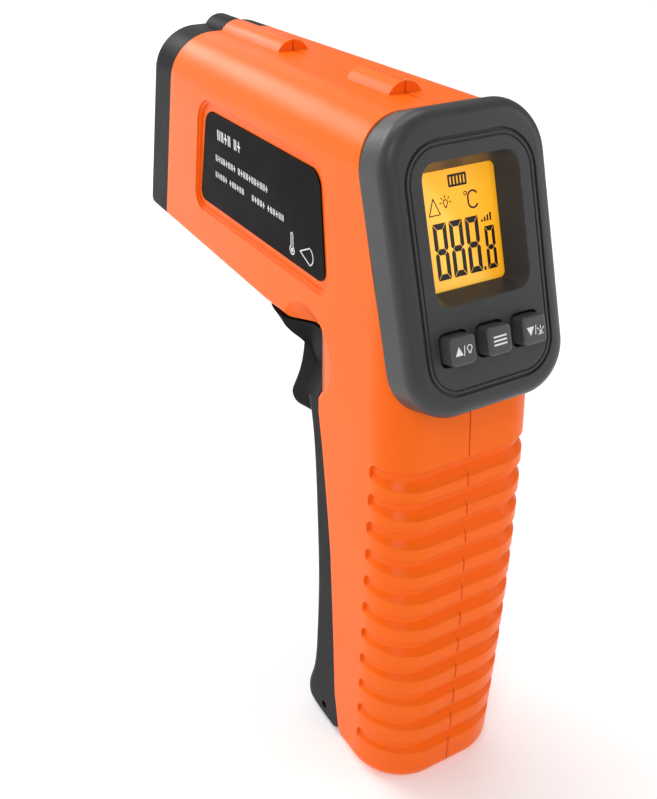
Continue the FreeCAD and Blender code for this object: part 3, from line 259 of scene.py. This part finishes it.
ORANGE = (1.0, 0.145, 0.004)
GREY = (0.042, 0.042, 0.0425)
NOSE_GREY = (0.011, 0.011, 0.0113)
GRIP_GREY = (0.012, 0.012, 0.0123)
TRIGGER_GREY = (0.008, 0.008, 0.0082)
FILM_BLACK = (0.004, 0.003, 0.003)
KEY_GREY = (0.065, 0.065, 0.066)
STRIP_COLOURS = ((0.5, 0.32, 0.25), (0.03, 0.03, 0.03))
STRIP_COUNT = 32
STRIP_WIDE = 0.4 * MM
STRIP_FROM = -10 * MM
JACKET_NAVY = (0.02, 0.03, 0.05)
JACKET_SILVER = (0.5, 0.5, 0.52)
JACKET_BROWN = (0.30, 0.16, 0.05)
TIN = (0.55, 0.55, 0.55)

lcd_face = Face("lcd_panel", FACE_OUT, FACE_UP)
cells_low, cells_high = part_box("battery_cells")


def strip_stops():
    """The zebra strip's layers: conductive and clear rubber by turns."""
    return [(i * STRIP_WIDE + STRIP_FROM, STRIP_COLOURS[i % 2]) for i in range(STRIP_COUNT)]


def jacket_stops():
    """The cell's jacket from its lower end up: tin, navy, silver, brown and the tin rim."""
    return [
        (cells_low.z, TIN),
        (cells_low.z + 1.5 * MM, JACKET_NAVY),
        (cells_low.z + 28 * MM, JACKET_SILVER),
        (cells_low.z + 31 * MM, JACKET_BROWN),
        (cells_high.z - 2.5 * MM, TIN),
        (cells_high.z, (0.6, 0.6, 0.6)),
    ]


looks = {
    "housing_right": plastic("orange_housing", ORANGE, rough=0.32, grain=2600.0, depth=0.012,
                             roll=0.35, change=0.03, Specular_IOR_Level=0.14),
    "rear_bezel": plastic("grey_moulding", GREY, rough=0.38, grain=2400.0, depth=0.016,
                          roll=0.3, change=0.05, Specular_IOR_Level=0.34),
    "nose_cap": plastic("nose_moulding", NOSE_GREY, rough=0.42, grain=2400.0, depth=0.016,
                        roll=0.3, change=0.05, Specular_IOR_Level=0.05),
    "battery_door": plastic("grip_grey_moulding", GRIP_GREY, rough=0.42, grain=2200.0, depth=0.02,
                            Specular_IOR_Level=0.07),
    "trigger": plastic("trigger_moulding", TRIGGER_GREY, rough=0.45, grain=2200.0, depth=0.02,
                       Specular_IOR_Level=0.02),
    "label_left": plastic("label_film", FILM_BLACK, rough=0.5, grain=1800.0, depth=0.006,
                          roll=0.0, change=0.15, Specular_IOR_Level=0.04),
    "button_up": plastic("key_plastic", KEY_GREY, rough=0.3, grain=1500.0, depth=0.006, roll=0.2),
    "key_plunger_up": plastic("plunger_rubber", (0.03, 0.03, 0.03), rough=0.7, grain=1500.0, depth=0.03),
    "display_window": clear("window_clear", (0.98, 0.97, 0.95), haze=0.012),
    "lcd_panel": lit_panel("lcd_amber_painted_light", lcd_face),
    "backlight": plastic("light_guide", (0.95, 0.8, 0.45), rough=0.25, grain=900.0, depth=0.01),
    "contact_strips": banded("zebra_rubber", "X", strip_stops(), rough=0.6),
    "display_board": plastic("solder_mask", (0.012, 0.13, 0.035), rough=0.3, grain=800.0, depth=0.03,
                             roll=0.0, change=0.2),
    "board_chips": plastic("chip_moulding", (0.018, 0.018, 0.019), rough=0.5, grain=3000.0, depth=0.02),
    "trigger_switch": plastic("switch_moulding", (0.025, 0.025, 0.03), rough=0.45, grain=2000.0,
                              depth=0.02),
    "switch_plunger": plastic("switch_red", (0.45, 0.03, 0.02), rough=0.3, grain=1500.0, depth=0.01),
    "housing_screws": metal("screw_steel", (0.45, 0.45, 0.46), rough=0.32, stretch=(1, 6, 6)),
    "trigger_pin": metal("pin_steel", (0.6, 0.6, 0.6), rough=0.22, stretch=(8, 1, 1)),
    "trigger_spring": metal("spring_wire", (0.55, 0.55, 0.53), rough=0.28, stretch=(1, 4, 1)),
    "battery_contacts": metal("contact_nickel", (0.72, 0.70, 0.65), rough=0.2, stretch=(1, 8, 1)),
    "ir_lens": plastic("fresnel_film", (0.72, 0.71, 0.66), rough=0.28, grain=500.0, depth=0.05,
                       roll=0.0),
    "lens_retainer": metal("ring_aluminium", (0.5, 0.5, 0.5), rough=0.3),
    "thermopile_sensor": metal("sensor_can", (0.7, 0.69, 0.66), rough=0.18),
    "laser_module": metal("laser_brass", (0.72, 0.52, 0.22), rough=0.28, stretch=(1, 8, 1)),
    "laser_lens": clear("laser_glass", (0.95, 0.55, 0.5), haze=0.12),
    "laser_holder": plastic("inner_moulding", (0.05, 0.05, 0.053), rough=0.5, grain=2000.0, depth=0.02),
    "battery_cells": banded("cell_jacket", "Z", jacket_stops(), rough=0.3, metallic=0.4),
}
same_as = {
    "housing_right": ["housing_left"],
    "label_left": ["label_right"],
    "button_up": ["button_mode", "button_down"],
    "key_plunger_up": ["key_plunger_mode", "key_plunger_down"],
    "display_board": ["sensor_board", "trigger_board"],
    "board_chips": ["key_switches", "lens_tube"],
    "housing_screws": ["board_screws"],
    "trigger_pin": ["door_hinge_pin"],
    "trigger_spring": ["battery_springs"],
    "laser_holder": ["battery_tray"],
}
for node, material in looks.items():
    for each in [node, *same_as.get(node, [])]:
        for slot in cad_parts[each].material_slots:
            slot.material = material


# --- Printed marks ----------------------------------------------------------------------------

def stroke(start, end, width):
    """A straight bar between two points, as an outline."""
    (x0, y0), (x1, y1) = start, end
    length = math.hypot(x1 - x0, y1 - y0)
    ax, ay = (y0 - y1) / length * width / 2, (x1 - x0) / length * width / 2
    return [(x0 - ax, y0 - ay), (x1 - ax, y1 - ay), (x1 + ax, y1 + ay), (x0 + ax, y0 + ay)]


def arc(centre, radius, width, start, end, steps=20):
    """Short bars along part of a circle, from one angle to another in degrees."""
    bars = []
    spots = []
    for i in range(steps + 1):
        angle = math.radians(start + (end - start) * i / steps)
        spots.append((centre[0] + radius * math.cos(angle), centre[1] + radius * math.sin(angle)))
    for first, second in zip(spots, spots[1:]):
        bars.append(stroke(first, second, width))
    return bars


# A printed layer's thickness, and how far it floats above the face, in mm.
INK_THICK = 0.03
INK_RAISED = 0.012


def printed(name, face, outlines, material, body):
    """One thin printed layer made of many flat outlines lying on a face, all in mm."""
    bm = bmesh.new()
    for outline in outlines:
        low = [bm.verts.new(face.at(u, v, INK_RAISED)) for u, v in outline]
        top = [bm.verts.new(face.at(u, v, INK_RAISED + INK_THICK)) for u, v in outline]
        bm.faces.new(top)
        bm.faces.new(low[::-1])
        for i in range(len(outline)):
            j = (i + 1) % len(outline)
            bm.faces.new((low[i], low[j], top[j], top[i]))
    bmesh.ops.recalc_face_normals(bm, faces=bm.faces)
    mesh = bpy.data.meshes.new(name)
    bm.to_mesh(mesh)
    bm.free()
    obj = bpy.data.objects.new(name, mesh)
    scene.collection.objects.link(obj)
    mesh.materials.append(material)
    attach(obj, body)


white_ink = plastic("white_ink", (0.82, 0.82, 0.82), rough=0.5, grain=3000.0, depth=0.004,
                    roll=0.0, change=0.04)
lcd_ink = plastic("lcd_ink", (0.006, 0.005, 0.004), rough=0.5, grain=3000.0, depth=0.002,
                  roll=0.0, change=0.3)


def digit(left, foot, wide, high, post, bar, gap=0.08):
    """Seven segments with mitred ends: the outlines of a figure eight."""
    x0, x1 = left, left + wide
    y0, y1, y2 = foot, foot + high / 2, foot + high
    in0, in1 = x0 + post, x1 - post
    half = bar / 2
    tip = post / 2
    ends = [
        [(x0 + gap, y2), (x1 - gap, y2), (in1 - gap, y2 - bar), (in0 + gap, y2 - bar)],
        [(x0 + gap, y0), (in0 + gap, y0 + bar), (in1 - gap, y0 + bar), (x1 - gap, y0)],
        [(x0 + tip + gap, y1), (in0 + gap, y1 + half), (in1 - gap, y1 + half),
         (x1 - tip - gap, y1), (in1 - gap, y1 - half), (in0 + gap, y1 - half)],
    ]
    posts = []
    for outer, inner, middle in ((x0, in0, x0 + tip), (x1, in1, x1 - tip)):
        for end, turn in ((y2, -1), (y0, 1)):
            posts.append([
                (outer, end + turn * gap), (inner, end + turn * (bar + gap)),
                (inner, y1 - turn * (half + gap)), (middle, y1 - turn * gap), (outer, y1 - turn * half),
            ])
    return ends + posts


def lamp(x, y, size, width):
    """A small lamp: round bulb, two sides that run down and a short foot."""
    marks = arc((x, y), size, width, -50, 230)
    for side in (-size, size):
        marks.append(stroke((x + side * 0.5, y - size * 0.85), (x + side * 0.4, y - size * 1.7), width))
    foot = y - size * 1.75
    marks.append(stroke((x - size * 0.42, foot), (x + size * 0.42, foot), width * 1.3))
    return marks


def rays(x, y, near, far, angles, width):
    """Short strokes that point away from a centre."""
    marks = []
    for angle in angles:
        turn = math.radians(angle)
        way = Vector((math.cos(turn), math.sin(turn)))
        start, end = way * near, way * far
        marks.append(stroke((x + start.x, y + start.y), (x + end.x, y + end.y), width))
    return marks


def degrees_celsius():
    """The round degrees sign and the C next to it."""
    marks = arc((2.6, 5.95), 0.34, 0.2, 0, 360, 14)
    marks += arc((4.2, 5.1), 1.1, 0.36, 25, 180, 12)
    marks += arc((4.2, 4.1), 1.1, 0.36, 180, 335, 12)
    marks.append(stroke((3.1, 5.2), (3.1, 4.0), 0.36))
    return marks


def status_block():
    """A dark block with openings: two bars joined by six posts."""
    posts = [-0.83 + 0.77 * i for i in range(6)]
    marks = [stroke((-1.0, level), (3.2, level), 0.42) for level in (9.65, 7.75)]
    return marks + [stroke((x, 7.9), (x, 9.5), 0.42) for x in posts]


def level_meter():
    """Four bars, each higher than the one before."""
    return [stroke((5.75 + 0.68 * i, 0.0), (5.75 + 0.68 * i, 0.45 + 0.36 * i), 0.4) for i in range(4)]


# Level of the figures' feet on the panel, in mm.
LCD_FOOT = -9.15


def lcd_marks():
    """Four figures and their signs, as they stand on the panel."""
    marks = []
    for left in (-5.65, -1.95, 1.75):
        marks += digit(left, LCD_FOOT, 3.05, 10.6, 0.86, 1.15)
    marks += digit(6.05, LCD_FOOT, 2.35, 8.2, 0.7, 0.95)
    point = [(5.1, 0.0), (5.6, 0.0), (5.6, 0.7), (5.1, 0.7)]
    marks.append([(x, LCD_FOOT + y) for x, y in point])
    marks += degrees_celsius()
    corners = [(-6.0, 3.0), (-3.5, 3.0), (-4.8, 6.1)]
    for first, second in zip(corners, corners[1:] + corners[:1]):
        marks.append(stroke(first, second, 0.22))
    bulb = (-2.1, 5.0)
    marks += lamp(*bulb, 0.5, 0.2)
    marks += rays(*bulb, 0.85, 1.35, (0, 45, 90, 135, 180), 0.2)
    return marks + status_block() + level_meter()


printed("lcd_marks", lcd_face, lcd_marks(), lcd_ink, "body")


def key_marks(key):
    """What a key shows: three bars, or an arrow, a slash and a small lamp or beam."""
    if key == "mode":
        return [stroke((-1.5, y), (1.5, y), 0.34) for y in (0.75, 0.0, -0.75)]
    up = 1 if key == "up" else -1
    arrow = [(-2.0, -0.75 * up), (-0.3, -0.75 * up), (-1.15, 0.95 * up)]
    slash = stroke((-0.05, -0.95), (0.2, 0.95), 0.16)
    if key == "up":
        return [arrow, slash] + lamp(1.25, 0.3, 0.52, 0.2)
    spot = (1.25, -0.55)
    beam = arc(spot, 0.22, 0.24, 0, 360, 10) + rays(*spot, 0.5, 1.15, (45, 90, 135), 0.17)
    return [arrow, slash] + beam + [stroke((0.6, -0.98), (1.9, -0.98), 0.16)]


for key in ("up", "mode", "down"):
    key_face = Face("button_" + key, FACE_OUT, FACE_UP)
    printed(f"key_mark_{key}", key_face, key_marks(key), white_ink, "button_" + key)


def letter_row(left, level, words, tall, wide, gap):
    """A row of bars and crosses that stands in for a line of print; words are their lengths."""
    marks = []
    x = left
    middle, top = level + tall / 2, level + tall

    def upright(share):
        marks.append(stroke((x + wide * share, level), (x + wide * share, top), wide * 0.3))

    for word in words:
        for i in range(word):
            if (i + word) % 3 == 0:
                marks.append(stroke((x, middle), (x + wide, middle), wide * 0.34))
                upright(0.5)
            else:
                upright(0.2)
                upright(0.8)
            x += wide + gap
        x += gap * 2.5
    return marks


def bulb_thermometer(x, y):
    """A bulb with a dot in it and a stem with a round top."""
    stem_half, stem_foot, stem_top = 0.42, 0.85, 3.4
    marks = arc((x, y), 0.95, 0.3, 115, 425)
    for side in (-stem_half, stem_half):
        marks.append(stroke((x + side, y + stem_foot), (x + side, y + stem_top), 0.28))
    marks += arc((x, y + stem_top), stem_half, 0.28, 0, 180, 8)
    return marks + arc((x, y), 0.28, 0.5, 0, 360, 12)


def cone_of_view(tip, ends):
    """Two lines that spread from a tip and the arc that closes them."""
    marks = [stroke(tip, end, 0.26) for end in ends]
    return marks + arc((23.6, -7.5), 1.9, 0.26, -65, 65, 12)


def label_marks():
    """A plain generic print: lines of marks, a bulb thermometer and a cone of view."""
    marks = letter_row(-19.0, 5.6, (4, 2), 2.4, 1.35, 0.5)
    marks += letter_row(-20.5, 0.4, (8, 11), 1.5, 0.95, 0.4)
    marks += letter_row(-21.0, -3.6, (5, 6), 1.4, 0.9, 0.4)
    marks += letter_row(-2.0, -3.6, (5, 6), 1.4, 0.9, 0.4)
    marks += bulb_thermometer(16.5, -8.6)
    return marks + cone_of_view((20.0, -7.6), [(24.2, -5.6), (24.2, -9.4)])


for side, out in (("left", -X_DIRECTION), ("right", X_DIRECTION)):
    label_face = Face("label_" + side, out, Z_DIRECTION)
    printed(f"label_print_{side}", label_face, label_marks(), white_ink, "body")


# --- Floor, light and camera ------------------------------------------------------------------

VIEW_TURN = math.radians(30.8)
VIEW_TILT = math.radians(60.1)


def paper_look():
    """Pale paper that brightens with distance, so that it fades out to white behind the object."""
    look = Look("studio_paper", Emission_Color=(1, 1, 1, 1), Specular_IOR_Level=0.1)
    look.mottle((0.90, 0.90, 0.90), 0.01)
    look.sheen(0.9)
    look.grain(300.0, 0.02)
    reach = look.add("ShaderNodeVectorMath")
    reach.operation = "LENGTH"
    look.link(look.place, "Object", reach, 0)
    glow = look.remap(reach, "Value", start=0.3, end=1.0, low=0.18, high=0.5)
    look.link(glow, "Result", look.shader, "Emission Strength")
    return look.material


def floor():
    """A pale sheet on the table that curves up at the back."""
    steps = 24
    near, bend_from, bend, wall_top = -1.6, 1.0, 0.5, 2.4
    profile = [(near, 0.0), (bend_from, 0.0)]
    for i in range(1, steps + 1):
        angle = math.pi / 2 * i / steps
        profile.append((bend_from + bend * math.sin(angle), bend - bend * math.cos(angle)))
    profile.append((bend_from + bend, wall_top))
    bm = bmesh.new()
    rows = []
    for along, height in profile:
        rows.append([bm.verts.new((side, along, height)) for side in (-2.4, -0.8, 0.8, 2.4)])
    for first, second in zip(rows, rows[1:]):
        for i in range(3):
            bm.faces.new((first[i], first[i + 1], second[i + 1], second[i]))
    mesh = bpy.data.meshes.new("studio_floor")
    bm.to_mesh(mesh)
    bm.free()
    for face in mesh.polygons:
        face.use_smooth = True
    obj = bpy.data.objects.new("studio_floor", mesh)
    scene.collection.objects.link(obj)
    mesh.materials.append(paper_look())
    obj.rotation_euler = (0, 0, VIEW_TURN)


floor()

LIGHT_AIM = Vector((0.0, 0.03, 0.09))
# Soft rectangular lights: name, place, size in metres, watts.
LIGHTS = [
    ("key_light", (-0.55, -0.55, 0.95), (0.4, 0.4), 3.2),
    ("top_light", (0.05, 0.3, 1.0), (0.8, 0.5), 4.5),
    ("fill_light", (0.85, -0.6, 0.35), (0.5, 0.7), 2.4),
    ("edge_light", (-0.3, 0.85, 0.6), (0.55, 0.3), 3.2),
    ("front_light", (-0.1, -1.0, 0.4), (0.6, 0.3), 0.7),
]


def soft_light(name, place, wide, watts):
    data = bpy.data.lights.new(name, "AREA")
    data.shape = "RECTANGLE"
    data.size, data.size_y = wide
    data.energy = watts
    obj = bpy.data.objects.new(name, data)
    obj.location = place
    obj.rotation_euler = (LIGHT_AIM - Vector(place)).to_track_quat("-Z", "Y").to_euler()
    scene.collection.objects.link(obj)


for light in LIGHTS:
    soft_light(*light)

world = bpy.data.worlds.new("soft_room")
world.use_nodes = True
sky = world.node_tree.nodes["Background"]
sky.inputs["Color"].default_value = (1.0, 1.0, 1.0, 1.0)
sky.inputs["Strength"].default_value = 0.28
scene.world = world


def photographer():
    """The camera, standing where the object is seen from behind, the left and above."""
    data = bpy.data.cameras.new("camera")
    data.lens = 47.56
    data.sensor_width = 36.0
    data.shift_x = 0.0043
    data.shift_y = -0.0056
    data.clip_start = 0.01
    camera = bpy.data.objects.new("camera", data)
    camera.location = (-0.11665, -0.14796, 0.20712)
    camera.rotation_euler = Euler((VIEW_TILT, 0.0, -VIEW_TURN))
    scene.collection.objects.link(camera)
    scene.camera = camera


photographer()
scene.view_settings.view_transform = "Standard"
scene.view_settings.look = "None"
